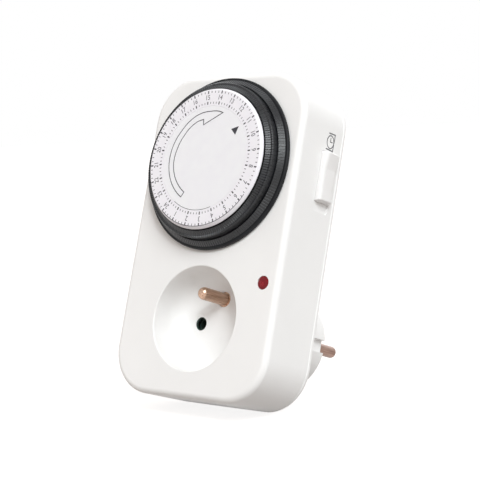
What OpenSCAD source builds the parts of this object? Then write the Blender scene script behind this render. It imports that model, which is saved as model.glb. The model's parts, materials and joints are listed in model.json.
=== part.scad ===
// Plug-in 24 hour timer switch: a socket in front, a plug behind, and a clock dial that switches it.
// The front looks towards -Y, the wall outlet is at +Y, and +Z is up.
// The origin is the middle of the plug's end face, halfway between its two pins.

/* [Housing] */
// Width of the housing
body_w = 73.6; // [73:0.2:80]
// From the bottom of the housing up to the middle of the socket
socket_h = 29.7; // [28:0.1:34]
// From the middle of the socket up to the middle of the dial
dial_h = 59; // [58:0.5:64]
// From the middle of the dial up to the top of the housing
crown_h = 35.3; // [35:0.1:42]
// Depth of the housing, from the front face to the rear face
body_d = 27.4; // [27:0.2:32]
// Radius of the four corners, seen from the front
corner_r = 17.5; // [14:0.5:19]
// Rounding of the front edge
front_round = 3; // [1:0.25:3.5]
// Rounding of the rear edge
rear_round = 1.2; // [0.4:0.1:1.6]
// Thickness of the housing's walls
wall = 2; // [1.8:0.1:2.2]
// Thickness of the rear cover
cover_t = 2.2; // [1.8:0.1:2.8]

/* [Socket] */
// Radius of the round recess that takes a plug
recess_r = 19.75; // [19.25:0.05:20.25]
// Depth of the recess
recess_d = 15.3; // [14.5:0.1:15.5]
// Radius of the blend between the wall and the floor of the recess
recess_blend = 7.5; // [4:0.5:8]
// Thickness of the recess's floor and wall
cup_t = 1.6; // [1.4:0.1:1.8]
// Half of the distance between the two live holes
pole_x = 9.5; // [9.4:0.05:9.6]
// Height of the earth pin above the line through the live holes
earth_z = 10; // [9.9:0.05:10.1]
// Radius of every mains pin
pin_r = 2.4; // [2.35:0.01:2.45]
// Length of the socket's earth pin above the recess's floor
earth_l = 13.9; // [12:0.1:14.2]
// Radius of a live hole in the recess's floor
hole_r = 2.6; // [2.55:0.01:2.75]

/* [Plug] */
// Radius of the plug
nose_r = 19; // [18.6:0.1:19.4]
// Length of the plug, from the rear face to its end face
nose_l = 31.5; // [28:0.5:34]
// Free length of a plug pin
pin_l = 19; // [18:0.5:20]
// Width of a guide groove in the plug's side
groove_w = 5; // [4:0.25:6]
// Depth of a guide groove
groove_d = 2.2; // [1:0.1:2.6]
// Width of an earth clip
clip_w = 6; // [4:0.25:7]

/* [Dial] */
// Radius of the white number ring
ring_r = 27.1; // [26.6:0.1:27.2]
// Distance of the number ring's front from the housing's front face
dial_d = 9.2; // [8.8:0.1:9.6]
// Thickness of the number ring
ring_t = 1.3; // [1.2:0.1:1.6]
// Width of the bevel around the number ring
bevel_w = 0.8; // [0.4:0.1:1]
// Height of that bevel
bevel_h = 1; // [0.5:0.1:1]
// Radius of the fixed centre plate
centre_r = 20.1; // [16:0.1:20.5]
// Radius of the dial's flange
flange_r = 33.1; // [32.8:0.1:33.6]
// Direction of the hour mark 0 at rest, seen from the front, in degrees
rest_angle = 231.6; // [0:0.1:360]
// Number of tappets for each hour
tappets_per_hour = 4; // [3:1:4]
// Radial thickness of a tappet
tappet_t = 2.7; // [2.2:0.1:2.8]
// Gap between a tappet and the wall of its slot
tappet_gap = 0.15; // [0.1:0.05:0.2]
// Travel of a tappet
tappet_travel = 2.5; // [1.5:0.1:2.6]
// Chamfer of a tappet's outer top edge
tappet_chamfer = 0.4; // [0.1:0.1:0.8]

/* [Clockwork] */
// Gear module
gear_m = 0.6; // [0.58:0.01:0.6]
// Teeth of the dial gear
dial_teeth = 72; // [66:6:72]
// Teeth of the pinion that drives the dial gear
pinion_teeth = 12; // [12:1:13]
// Teeth of the reduction wheel
wheel_teeth = 40; // [36:1:42]
// Teeth of the motor pinion
motor_teeth = 10; // [10:1:12]
// Direction from the dial to the reduction wheel, seen from the front, in degrees
wheel_angle = -60; // [-65:1:-55]
// Direction from the reduction wheel to the motor, in degrees
motor_angle = 147; // [140:1:155]
// Radius of the motor
motor_r = 16.5; // [14:0.5:17]
// Depth of the motor
motor_d = 11; // [9:0.5:11.5]

/* [Controls] */
// Length of the mode switch's thumb piece
thumb_l = 16.7; // [14:0.1:18]
// Width of the thumb piece
thumb_w = 8.2; // [7:0.1:9]
// Height of the thumb piece's two ends above the side wall
thumb_h = 3.8; // [2.6:0.1:4.5]
// Travel of the mode switch
thumb_travel = 3.4; // [2.5:0.1:4]
// Height of the thumb piece's middle above the middle of the socket
thumb_z = 57; // [55:0.5:62]
// Distance of the thumb piece's middle from the front face
thumb_y = 17.9; // [17:0.1:18.5]
// Radius of the lamp's red lens
lamp_r = 2.5; // [2.2:0.1:2.8]
// Distance of the lamp from the middle of the housing
lamp_x = 29.8; // [29:0.1:30.5]
// Height of the lamp above the middle of the socket
lamp_z = 14.8; // [12:0.1:18]

/* [Clearances] */
// Gap around a shaft or pin that turns or slides in its hole
run_gap = 0.05; // [0.02:0.01:0.08]
// Gap between pieces that stay clear of each other
gap = 0.3; // [0.25:0.05:0.35]

/* [Hidden] */
$fn = 96;
HOURS = 24;
HOUR_NAMES = [for (h = [0 : HOURS - 1]) str("tappets_", h < 10 ? "0" : "", h)];

// Housing
over = 1;
shell_d = body_d - cover_t;
side_x = body_w / 2;
inner_x = side_x - wall;
floor_z = -socket_h;
roof_z = dial_h + crown_h;
corner_steps = 12;
round_steps = 5;
nose_y = body_d + nose_l;
lip_l = 2.4;
lip_t = 1.2;
cavity_r = nose_r - wall;
boss_r = 3.4;
boss_shoulder_r = 4.4;
boss_x = side_x - 9.8;
boss_top_z = roof_z - 10;
boss_low_z = floor_z + 10;
screw_r = 1.45;
screw_head_r = 2.7;
screw_head_t = 1.2;
screw_l = 12;
cup_r = recess_r + cup_t;
cup_d = recess_d + cup_t;
// Dial, measured from the front face, with the wall at the positive side
ring_back = -dial_d + ring_t;
web_t = 1.6;
web_back = ring_back + web_t;
tappet_in = ring_r + gap;
tappet_out = tappet_in + tappet_t;
drum_in = tappet_in - 1.7;
drum_out = tappet_out + 1.2;
drum_front = -3.6;
drum_back = 1;
flange_front = -1.8;
flange_back = -0.3;
dial_hole_r = drum_out + 2 * gap;
tappet_count = HOURS * tappets_per_hour;
tappet_pitch = 360 / tappet_count;
tappet_w = 2 * tappet_in * sin(tappet_pitch / 2) - 2 * tappet_gap - 0.1;
tappet_back = 0.2;
tappet_front = ring_back + 0.9;
spindle_r = 3;
spigot_r = 1.5;
spigot_l = 2;
hub_r = 5.5;
// Clockwork
gear_y = drum_back + tappet_travel;
gear_t = 2;
dial_pitch_r = gear_m * dial_teeth / 2;
pinion_pitch_r = gear_m * pinion_teeth / 2;
wheel_pitch_r = gear_m * wheel_teeth / 2;
motor_pitch_r = gear_m * motor_teeth / 2;
mesh_gap = 0.12;
wheel_c = dial_pitch_r + pinion_pitch_r + mesh_gap;
wheel_x = wheel_c * cos(wheel_angle);
wheel_z = dial_h + wheel_c * sin(wheel_angle);
motor_c = wheel_pitch_r + motor_pitch_r + mesh_gap;
motor_x = wheel_x + motor_c * cos(motor_angle);
motor_z = wheel_z + motor_c * sin(motor_angle);
wheel_y = gear_y + gear_t + 1.2;
wheel_t = 1.8;
plate_y = wheel_y + wheel_t + 1.2;
plate_t = 1.5;
plate_back = plate_y + plate_t;
arbor_r = 1;
post_z = wheel_z - 11.2;
post_r = 3;
plate_screw_l = 6;
plate_edge_x = inner_x - 3.2;
plate_low = post_z - post_r - gap;
motor_ear_x = motor_r + 4.2;
motor_ear_z = 3;
motor_ear_t = 0.8;
motor_bore_d = 4;
terminal_w = 6;
terminal_h = 2.5;
terminal_gap = 2;
// Switch
lever_x = -(tappet_in + tappet_out) / 2;
lever_w = 3;
lever_t = 1.8;
lever_nose_y = gear_y - 0.4;
lever_y = lever_nose_y + 1.9;
lever_pin_y = lever_y + lever_t / 2;
lever_nose_h = 2;
lever_hub_r = 1.9;
lever_pin_z = dial_h - 22;
lever_low_z = lever_pin_z - 14;
ear_t = 1.8;
ear_r = 2;
post_x = lever_x + lever_w / 2 + post_r + 1.55;
posts = [[post_x, post_z], [inner_x - 5.8, post_z]];
leaf_t = 0.4;
leaf_y = lever_y - gap - leaf_t;
leaf_l = 17;
leaf_low_z = lever_low_z - leaf_l;
leaf_root = 3.5;
leaf_half = 2;
leaf_over = 2;
contact_t = 0.5;
contact_r = 1.2;
// Mode switch
pocket_d = 1;
stem_w = 5;
stem_l = 8;
plate_in = inner_x - gap;
slide_t = 1.8;
slide_w = stem_w + 4.8;
slide_l = stem_l + 8;
thumb_dip = 1.6;
bridge_x = plate_in - slide_t - contact_t;
bridge_l = 3;
bridge_z = thumb_z - slide_l / 2 + 0.5;
// Lamp
lens_rim = 0.6;
lens_back = wall + 1;
lamp_bore_r = lamp_r + 0.8;
lamp_tube_t = 1.1;
lamp_tube_y = 10;
neon_r = 2.2;
neon_y = lens_back + gap;
neon_l = 9;
lead_r = 0.3;
lead_x = 0.8;
lead_l = 3;
resistor_r = 1.1;
resistor_l = 5;
// Mains parts
sleeve_r = 3.3;
sleeve_y = cup_d + 2;
sleeve_l = 14;
collar_r = 2.9;
collar_gap = run_gap;
strip_t = 0.8;
strip_y = cup_d + 3.2;
pin_root = 11;
bar_y = sleeve_y + sleeve_l;
plug_boss_r = 4.5;
clip_t = 0.8;
clip_in = nose_r - 1.4;
clip_y = body_d + 6 + gap / 2;
clip_rise_l = 9;
arm_z = nose_r - 4;
arm_w = 5;
earth_sleeve_l = 11;
earth_sleeve_y = nose_y - pin_root - earth_sleeve_l;
bar_w = 3;
bar_meet = shell_d - strip_t - 1;
supply_y = plate_back + motor_d - 2.1;
supply_z = earth_z + 0.6;
motor_low_z = motor_z - motor_r - terminal_h;
tie_z = motor_low_z - 1.6;
rail_x = -inner_x + 1.6;

// Helpers. Depths are measured from the front face towards the wall.
module in_frame()
    translate([0, -nose_y, 0])
        children();

module slab(y0, y1)
    translate([0, y1, 0])
        rotate([90, 0, 0])
            linear_extrude(height = y1 - y0)
                children();

module rod(x, z, y0, y1, r)
    translate([x, y1, z])
        rotate([90, 0, 0])
            cylinder(h = y1 - y0, r = r);

module spun(x, z, points)
    translate([x, 0, z])
        rotate([90, 0, 0])
            rotate_extrude()
                polygon([for (p = points) [p[0], -p[1]]]);

module block(x, y, z)
    translate([x[0], y[0], z[0]])
        cube([x[1] - x[0], y[1] - y[0], z[1] - z[0]]);

// Points of an arc about [cx, cy]
function arc(cx, cy, r, from, to, steps) =
    [for (i = [0 : steps]) let (a = from + (to - from) * i / steps) [cx + r * cos(a), cy + r * sin(a)]];

// Outline of the housing, drawn in by inset
module outline(inset) {
    x = side_x - corner_r;
    low = floor_z + corner_r;
    high = roof_z - corner_r;
    r = corner_r - inset;
    polygon(concat(
        arc(x, high, r, 0, 90, corner_steps),
        arc(-x, high, r, 90, 180, corner_steps),
        arc(-x, low, r, 180, 270, corner_steps),
        arc(x, low, r, 270, 360, corner_steps)));
}

// A gear seen from the front, with a tooth at the angle phase
module gear(teeth, phase) {
    r = gear_m * teeth / 2;
    tip = r + 0.8 * gear_m;
    root = r - 1.15 * gear_m;
    pitch = 360 / teeth;
    polygon([for (i = [0 : teeth - 1]) let (a = phase + i * pitch) each [
        root * [cos(a - 0.27 * pitch), sin(a - 0.27 * pitch)],
        tip * [cos(a - 0.12 * pitch), sin(a - 0.12 * pitch)],
        tip * [cos(a + 0.12 * pitch), sin(a + 0.12 * pitch)],
        root * [cos(a + 0.27 * pitch), sin(a + 0.27 * pitch)]]]);
}

// Housing
module shell_body() {
    hull()
        for (i = [0 : round_steps]) {
            a = 90 * i / round_steps;
            slab(front_round * (1 - sin(a)), shell_d)
                outline(front_round * (1 - cos(a)));
        }
}

module boss(x, z) {
    rod(x, z, wall / 2, shell_d, boss_r);
    rod(x, z, wall / 2, plate_y, boss_shoulder_r);
}

module thumb_pocket() {
    low = thumb_z - thumb_l / 2 - thumb_travel - gap;
    high = thumb_z + thumb_l / 2 + gap;
    y0 = thumb_y - thumb_w / 2 - gap;
    y1 = thumb_y + thumb_w / 2 + gap;
    block([side_x - pocket_d, side_x + over], [y0, y1], [low, high]);
    block([side_x - wall - over, side_x], [thumb_y - stem_w / 2 - gap, thumb_y + stem_w / 2 + gap],
        [thumb_z - stem_l / 2 - thumb_travel - gap, thumb_z + stem_l / 2 + gap]);
}

module front_shell()
    color("whitesmoke")
        in_frame()
            difference() {
                union() {
                    difference() {
                        shell_body();
                        slab(wall, shell_d + over)
                            outline(wall);
                    }
                    rod(0, 0, wall / 2, cup_d, cup_r);
                    for (x = [-boss_x, boss_x]) {
                        boss(x, boss_top_z);
                        boss(x, boss_low_z);
                    }
                    for (p = posts)
                        rod(p[0], p[1], wall / 2, plate_y, post_r);
                    block([lever_x - leaf_half, lever_x + leaf_half], [wall / 2, leaf_y - run_gap],
                        [leaf_low_z - leaf_root, leaf_low_z - gap]);
                    rod(lamp_x, lamp_z, wall / 2, lamp_tube_y, lamp_bore_r + lamp_tube_t);
                }
                rod(0, dial_h, -over, wall + over, dial_hole_r);
                spun(0, 0, concat([[0, -over], [recess_r, -over]],
                    arc(recess_r - recess_blend, recess_d - recess_blend, recess_blend, 0, 90, 8),
                    [[0, recess_d]]));
                for (x = [-pole_x, pole_x])
                    rod(x, 0, 0, cup_d + over, hole_r);
                rod(0, earth_z, 0, cup_d + over, collar_r + collar_gap);
                rod(lamp_x, lamp_z, -over, wall + over, lamp_r + gap / 3);
                rod(lamp_x, lamp_z, wall, lamp_tube_y + over, lamp_bore_r);
                for (x = [-boss_x, boss_x], z = [boss_low_z, boss_top_z])
                    rod(x, z, shell_d - screw_l, shell_d + over, screw_r + run_gap);
                for (p = posts)
                    rod(p[0], p[1], plate_y - plate_screw_l, plate_y + over, screw_r + run_gap);
                thumb_pocket();
            }

// Inside of the plug, with thicker walls behind its grooves and clips
module nose_cavity(y0, y1)
    difference() {
        rod(0, 0, y0, y1, cavity_r);
        for (s = [-1, 1]) {
            block([s * nose_r - 4.4, s * nose_r + 4.4], [y0 - over, y1 + over],
                [-groove_w / 2 - 1.6, groove_w / 2 + 1.6]);
            block([-clip_w / 2 - 1.6, clip_w / 2 + 1.6], [body_d + 3, y1 + over],
                [s * nose_r - 3.6, s * nose_r + 3.6]);
        }
    }

module rear_cover()
    color("whitesmoke")
        in_frame()
            difference() {
                union() {
                    hull() {
                        slab(shell_d, body_d - rear_round)
                            outline(0);
                        slab(shell_d, body_d - 0.3 * rear_round)
                            outline(0.3 * rear_round);
                        slab(shell_d, body_d)
                            outline(rear_round);
                    }
                    difference() {
                        slab(shell_d - lip_l, shell_d + over)
                            outline(wall + gap / 2);
                        slab(shell_d - lip_l - over, shell_d)
                            outline(wall + gap / 2 + lip_t);
                        for (x = [-boss_x, boss_x], z = [boss_low_z, boss_top_z])
                            rod(x, z, shell_d - lip_l - over, shell_d, boss_r + gap);
                        block([inner_x - 4, inner_x + over], [shell_d - lip_l - over, shell_d],
                            [thumb_z - thumb_l, thumb_z + thumb_l]);
                    }
                    difference() {
                        rod(0, 0, shell_d + 0.5, nose_y, nose_r);
                        nose_cavity(shell_d - over, nose_y - wall);
                    }
                    for (x = [-pole_x, pole_x])
                        rod(x, 0, nose_y - pin_root + 1, nose_y - over, plug_boss_r);
                    rod(0, earth_z, nose_y - pin_root + 1, nose_y - over, plug_boss_r);
                }
                nose_cavity(shell_d - over, body_d + over);
                for (x = [-pole_x, pole_x])
                    rod(x, 0, nose_y - pin_root - over, nose_y + over, collar_r + collar_gap);
                rod(0, earth_z, nose_y - pin_root - over, nose_y + over, hole_r);
                for (s = [-1, 1]) {
                    block([s * nose_r - groove_d, s * nose_r + groove_d], [body_d, nose_y + over],
                        [-groove_w / 2, groove_w / 2]);
                    block([-clip_w / 2 - gap / 2, clip_w / 2 + gap / 2], [body_d + 6, nose_y + over],
                        [s * nose_r - 1.6, s * nose_r + 1.6]);
                    block([-clip_w / 2 - gap / 2, clip_w / 2 + gap / 2], [body_d + 6, body_d + 8],
                        [s * nose_r - 5, s * nose_r + 5]);
                }
                for (x = [-boss_x, boss_x], z = [boss_low_z, boss_top_z]) {
                    rod(x, z, shell_d - over, body_d + over, screw_r + gap / 2);
                    rod(x, z, body_d - screw_head_t, body_d + over, screw_head_r + gap / 2);
                }
            }

module screw(x, z, head_y, length)
    difference() {
        union() {
            rod(x, z, head_y - length, head_y, screw_r);
            rod(x, z, head_y, head_y + screw_head_t, screw_head_r);
        }
        for (w = [[1.8, 0.35], [0.35, 1.8]])
            block([x - w[0], x + w[0]], [head_y + 0.5, head_y + screw_head_t + over],
                [z - w[1], z + w[1]]);
    }

module rear_screws()
    color("silver")
        in_frame()
            for (x = [-boss_x, boss_x], z = [boss_low_z, boss_top_z])
                screw(x, z, body_d - screw_head_t, screw_l - 1);

// Dial
module dial_carrier()
    color("dimgray")
        in_frame()
            difference() {
                union() {
                    spun(0, dial_h, [
                        [spindle_r + run_gap, ring_back], [ring_r - 0.1, ring_back],
                        [ring_r - 0.1, drum_front], [drum_out, drum_front],
                        [drum_out, flange_front], [flange_r - 0.6, flange_front],
                        [flange_r, flange_front + 0.6], [flange_r, flange_back],
                        [drum_out, flange_back], [drum_out, drum_back],
                        [drum_in, drum_back], [drum_in, web_back],
                        [hub_r, web_back], [hub_r, gear_y + gear_t],
                        [spindle_r + run_gap, gear_y + gear_t]]);
                }
                for (i = [0 : tappet_count - 1])
                    translate([0, 0, dial_h])
                        rotate([0, -rest_angle - (i + 0.5) * tappet_pitch, 0])
                            block([tappet_in - tappet_gap, tappet_out + tappet_gap],
                                [drum_front - over, drum_back + over],
                                [-tappet_w / 2 - tappet_gap, tappet_w / 2 + tappet_gap]);
            }

module number_ring()
    color("white")
        in_frame()
            spun(0, dial_h, [
                [centre_r + gap, -dial_d], [ring_r - bevel_w, -dial_d], [ring_r, -dial_d + bevel_h],
                [ring_r, ring_back], [centre_r + gap, ring_back]]);

module centre_plate()
    color("white")
        in_frame()
            spun(0, dial_h, [
                [0, -dial_d], [centre_r, -dial_d], [centre_r, ring_back - gap],
                [spigot_r, ring_back - gap], [spigot_r, ring_back + spigot_l], [0, ring_back + spigot_l]]);

module dial_gear()
    color("gold")
        in_frame()
            difference() {
                translate([0, 0, dial_h])
                    slab(gear_y, gear_y + gear_t)
                        gear(dial_teeth, wheel_angle);
                rod(0, dial_h, gear_y - over, gear_y + gear_t + over, hub_r);
            }

// The tappets of one hour, from the quarter of an hour after it starts
module tappets(hour)
    color("black")
        in_frame()
            for (i = [0 : tappets_per_hour - 1])
                translate([0, 0, dial_h])
                    rotate([0, -rest_angle - (hour * tappets_per_hour + i + 0.5) * tappet_pitch, 0])
                        linear_extrude(height = tappet_w, center = true)
                            polygon([
                                [tappet_in, tappet_front], [tappet_out - tappet_chamfer, tappet_front],
                                [tappet_out, tappet_front + tappet_chamfer],
                                [tappet_out, tappet_back], [tappet_in, tappet_back]]);

// Clockwork
module gear_plate()
    color("beige")
        in_frame()
            difference() {
                union() {
                    slab(plate_y, plate_back)
                        intersection() {
                            outline(wall + 2 * gap);
                            translate([-plate_edge_x, plate_low])
                                square([2 * plate_edge_x, roof_z]);
                        }
                    for (x = [-1, 1])
                        block([lever_x + x * (lever_w / 2 + gap / 2 + ear_t / 2) - ear_t / 2,
                            lever_x + x * (lever_w / 2 + gap / 2 + ear_t / 2) + ear_t / 2],
                            [lever_pin_y - ear_r, plate_y + over / 2],
                            [lever_pin_z - ear_r, lever_pin_z + ear_r]);
                }
                for (x = [-boss_x, boss_x])
                    rod(x, boss_top_z, plate_y - over, plate_back + over, boss_r + gap / 3);
                for (p = posts)
                    rod(p[0], p[1], plate_y - over, plate_back + over, screw_r + gap / 2);
                rod(0, dial_h, plate_y - over, plate_back + over, spindle_r - 0.5);
                rod(wheel_x, wheel_z, plate_y - over, plate_back + over, arbor_r + run_gap);
                rod(motor_x, motor_z, plate_y - over, plate_back + over, motor_pitch_r + 1);
                translate([lever_x - lever_w - ear_t, lever_pin_y, lever_pin_z])
                    rotate([0, 90, 0])
                        cylinder(h = 2 * (lever_w + ear_t), r = arbor_r + run_gap);
            }

module plate_screws()
    color("silver")
        in_frame()
            for (p = posts)
                screw(p[0], p[1], plate_back, plate_screw_l);

module dial_spindle()
    color("silver")
        in_frame()
            spun(0, dial_h, [
                [0, ring_back + spigot_l + run_gap], [spigot_r + run_gap, ring_back + spigot_l + run_gap],
                [spigot_r + run_gap, ring_back - gap], [spindle_r, ring_back - gap],
                [spindle_r, gear_y + gear_t + gap],
                [spindle_r + 1.5, gear_y + gear_t + gap], [spindle_r + 1.5, plate_y],
                [spindle_r - 0.5 - run_gap, plate_y], [spindle_r - 0.5 - run_gap, plate_back],
                [0, plate_back]]);

module reduction_gear()
    color("gold")
        in_frame()
            translate([wheel_x, 0, wheel_z])
                difference() {
                    union() {
                        slab(gear_y - 0.2, wheel_y)
                            gear(pinion_teeth, wheel_angle + 180 + 180 / pinion_teeth);
                        slab(wheel_y, wheel_y + wheel_t)
                            gear(wheel_teeth, motor_angle);
                    }
                    rod(0, 0, gear_y - over, plate_y, arbor_r + run_gap);
                }

module reduction_arbor()
    color("silver")
        in_frame()
            rod(wheel_x, wheel_z, gear_y, plate_back, arbor_r);

module motor_can()
    color("lightgray")
        in_frame()
            difference() {
                union() {
                    rod(motor_x, motor_z, plate_back, plate_back + motor_d, motor_r);
                    block([motor_x - motor_ear_x, motor_x + motor_ear_x],
                        [plate_back, plate_back + motor_ear_t], [motor_z - motor_ear_z, motor_z + motor_ear_z]);
                    block([motor_x - terminal_w, motor_x + terminal_w],
                        [plate_back + 2, plate_back + motor_d - 1], [motor_low_z, motor_z]);
                }
                rod(motor_x, motor_z, plate_back - over, plate_back + motor_bore_d, arbor_r + run_gap);
            }

module motor_pinion()
    color("gold")
        in_frame()
            translate([motor_x, 0, motor_z]) {
                slab(wheel_y - 0.2, plate_y - gap)
                    gear(motor_teeth, motor_angle + 180 + 180 / motor_teeth);
                rod(0, 0, wheel_y, plate_back + motor_bore_d - gap, arbor_r);
            }

// Clock switch
module switch_lever()
    color("orange")
        in_frame()
            difference() {
                union() {
                    block([lever_x - lever_w / 2, lever_x + lever_w / 2], [lever_y, lever_y + lever_t],
                        [lever_low_z, dial_h + lever_nose_h]);
                    block([lever_x - lever_w / 2, lever_x + lever_w / 2], [lever_nose_y, lever_y + 0.5],
                        [dial_h - lever_nose_h / 2, dial_h + lever_nose_h]);
                    translate([lever_x - lever_w / 2, lever_pin_y, lever_pin_z])
                        rotate([0, 90, 0])
                            cylinder(h = lever_w, r = lever_hub_r);
                }
                translate([lever_x - lever_w, lever_pin_y, lever_pin_z])
                    rotate([0, 90, 0])
                        cylinder(h = 2 * lever_w, r = arbor_r + run_gap);
            }

module lever_pin()
    color("silver")
        in_frame()
            translate([lever_x - lever_w / 2 - ear_t, lever_pin_y, lever_pin_z])
                rotate([0, 90, 0])
                    cylinder(h = lever_w + 2 * ear_t, r = arbor_r);

module contact_leaf()
    color("peru")
        in_frame() {
            block([lever_x - leaf_half, lever_x + leaf_half], [leaf_y, leaf_y + leaf_t],
                [leaf_low_z - leaf_root, lever_low_z + leaf_over]);
            rod(lever_x, lever_low_z, leaf_y - contact_t, leaf_y, contact_r);
        }

module fixed_contact()
    color("peru")
        in_frame()
            block([lever_x - leaf_half, lever_x + leaf_half], [wall, wall + contact_t],
                [lever_low_z - leaf_over, lever_low_z + leaf_over]);

// Mode switch
module mode_knob()
    color("white")
        in_frame() {
            base = side_x - pocket_d + gap / 3;
            end = thumb_l / 2;
            slab(thumb_y - thumb_w / 2, thumb_y + thumb_w / 2)
                polygon([
                    [base, thumb_z - end], [side_x + thumb_h, thumb_z - end + 0.8],
                    [side_x + thumb_h, thumb_z - end + 2], [side_x + thumb_h - thumb_dip, thumb_z - 1.5],
                    [side_x + thumb_h - thumb_dip, thumb_z + 1.5], [side_x + thumb_h, thumb_z + end - 2],
                    [side_x + thumb_h, thumb_z + end - 0.8], [base, thumb_z + end]]);
            block([plate_in - 0.5, base + 0.5], [thumb_y - stem_w / 2, thumb_y + stem_w / 2],
                [thumb_z - stem_l / 2, thumb_z + stem_l / 2]);
            block([plate_in - slide_t, plate_in], [thumb_y - slide_w / 2, thumb_y + slide_w / 2],
                [thumb_z - slide_l / 2, thumb_z + slide_l / 2]);
        }

module bridge_contact()
    color("peru")
        in_frame()
            block([bridge_x, plate_in - slide_t], [thumb_y - slide_w / 2 + 1, thumb_y + slide_w / 2 - 1],
                [bridge_z, bridge_z + bridge_l]);

module override_contacts()
    color("peru")
        in_frame()
            for (y = [[plate_back, thumb_y - 2], [thumb_y + 2, shell_d]])
                block([bridge_x - gap - strip_t, bridge_x - gap], y,
                    [bridge_z - thumb_travel - bridge_l, bridge_z - gap]);

// Lamp
module lamp_lens()
    color("darkred")
        in_frame()
            spun(lamp_x, lamp_z, [
                [0, 0.3], [lamp_r * 0.5, 0.4], [lamp_r * 0.85, 0.7], [lamp_r, 1.1], [lamp_r, wall],
                [lamp_r + lens_rim, wall], [lamp_r + lens_rim, lens_back], [0, lens_back]]);

module neon_lamp()
    color("mistyrose")
        in_frame() {
            spun(lamp_x, lamp_z, concat([[0, neon_y]],
                arc(0, neon_y + neon_r, neon_r, -60, 0, 4),
                [[neon_r, neon_y + neon_l], [0, neon_y + neon_l]]));
            for (s = [-1, 1])
                rod(lamp_x + s * lead_x, lamp_z, neon_y + neon_l, neon_y + neon_l + lead_l, lead_r);
        }

module lamp_resistor()
    color("burlywood")
        in_frame() {
            y = neon_y + neon_l + lead_l;
            rod(lamp_x - lead_x, lamp_z, y, y + resistor_l, resistor_r);
            rod(lamp_x - lead_x, lamp_z, y + resistor_l, y + resistor_l + lead_l, lead_r);
        }

// Mains parts
module sleeve(x)
    spun(x, 0, [
        [pin_r + run_gap, sleeve_y], [sleeve_r, sleeve_y], [sleeve_r, bar_y],
        [pin_r + run_gap, bar_y]]);

module live_sleeve()
    color("gold")
        in_frame()
            sleeve(-pole_x);

module neutral_sleeve()
    color("gold")
        in_frame()
            sleeve(pole_x);

module earth_pin()
    color("peru")
        in_frame()
            spun(0, earth_z, concat(
                arc(0, recess_d - earth_l + pin_r, pin_r, -90, 0, 8),
                [[pin_r, recess_d], [collar_r, recess_d], [collar_r, strip_y], [0, strip_y]]));

module earth_strip()
    color("gold")
        in_frame() {
            z = arm_z;
            block([-clip_w / 2, clip_w / 2], [strip_y, strip_y + strip_t], [-z, z]);
            for (s = [-1, 1])
                block([-arm_w / 2, arm_w / 2], [strip_y, clip_y + clip_t],
                    s > 0 ? [z - strip_t, z] : [-z, -z + strip_t]);
            block([-1.5, 1.5], [strip_y, earth_sleeve_y], [earth_z - 0.4, earth_z + 0.4]);
        }

module earth_clip(s)
    mirror([0, 0, s > 0 ? 0 : 1]) {
        block([-clip_w / 2, clip_w / 2], [clip_y, nose_y - 0.6], [clip_in, clip_in + clip_t]);
        block([-clip_w / 2, clip_w / 2], [clip_y, clip_y + clip_t], [arm_z, clip_in + clip_t]);
        slab(nose_y - 0.6 - clip_rise_l, nose_y - 0.6)
            translate([0, clip_in + clip_t - 0.1])
                polygon([[-clip_w / 2, 0], [clip_w / 2, 0], [clip_w / 2 - 1, 0.6], [-clip_w / 2 + 1, 0.6]]);
    }

module earth_clip_top()
    color("gold")
        in_frame()
            earth_clip(1);

module earth_clip_bottom()
    color("gold")
        in_frame()
            earth_clip(-1);

module plug_earth_sleeve()
    color("gold")
        in_frame()
            spun(0, earth_z, [
                [0, earth_sleeve_y], [sleeve_r, earth_sleeve_y], [sleeve_r, earth_sleeve_y + earth_sleeve_l],
                [pin_r + run_gap, earth_sleeve_y + earth_sleeve_l], [pin_r + run_gap, earth_sleeve_y + 1],
                [0, earth_sleeve_y + 1]]);

module plug_pin(x)
    spun(x, 0, concat([
        [0, nose_y - pin_root], [collar_r, nose_y - pin_root], [collar_r, nose_y],
        [pin_r, nose_y]],
        arc(0, nose_y + pin_l - pin_r, pin_r, 0, 90, 8)));

module plug_pin_live()
    color("peru")
        in_frame()
            plug_pin(-pole_x);

module plug_pin_neutral()
    color("peru")
        in_frame()
            plug_pin(pole_x);

// A strip from behind a pole at x to the motor's terminals, with the side s
module supply_strip(s, y) {
    x0 = s * pole_x - bar_w / 2;
    x1 = s * pole_x + bar_w / 2;
    block([x0, x1], [y - strip_t, y], [-bar_w / 2, supply_z]);
    block([x0, x1], [supply_y, y], [supply_z - strip_t, supply_z]);
    block([x0, x1], [supply_y, supply_y + strip_t], [supply_z - strip_t, tie_z]);
    block(s > 0 ? [terminal_gap, x1] : [x0, -terminal_gap], [supply_y, supply_y + strip_t],
        [tie_z - bar_w, tie_z]);
    block(s > 0 ? [terminal_gap, terminal_gap + bar_w] : [-terminal_gap - bar_w, -terminal_gap],
        [supply_y, supply_y + strip_t], [tie_z - bar_w, motor_low_z]);
}

module live_bar()
    color("gold")
        in_frame() {
            low = leaf_low_z - leaf_root;
            back = leaf_y + leaf_t + gap;
            supply_strip(-1, nose_y - pin_root);
            block([rail_x, -pole_x], [supply_y, supply_y + strip_t], [supply_z - bar_w, supply_z]);
            block([rail_x, rail_x + strip_t], [back, supply_y + strip_t], [low, supply_z]);
            block([rail_x, lever_x + leaf_half], [back, back + strip_t], [low, low + bar_w]);
        }

module switched_bar()
    color("gold")
        in_frame() {
            x = lever_x + leaf_half;
            block([x, x + bar_w], [wall, wall + contact_t], [-bar_w / 2, lever_low_z - 1]);
            block([x + bar_w - strip_t, x + bar_w], [wall, bar_meet + strip_t],
                [-bar_w / 2, bar_w / 2]);
            block([x + bar_w - strip_t, -pole_x - sleeve_r - run_gap], [bar_meet, bar_meet + strip_t],
                [-bar_w / 2, bar_w / 2]);
        }

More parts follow.
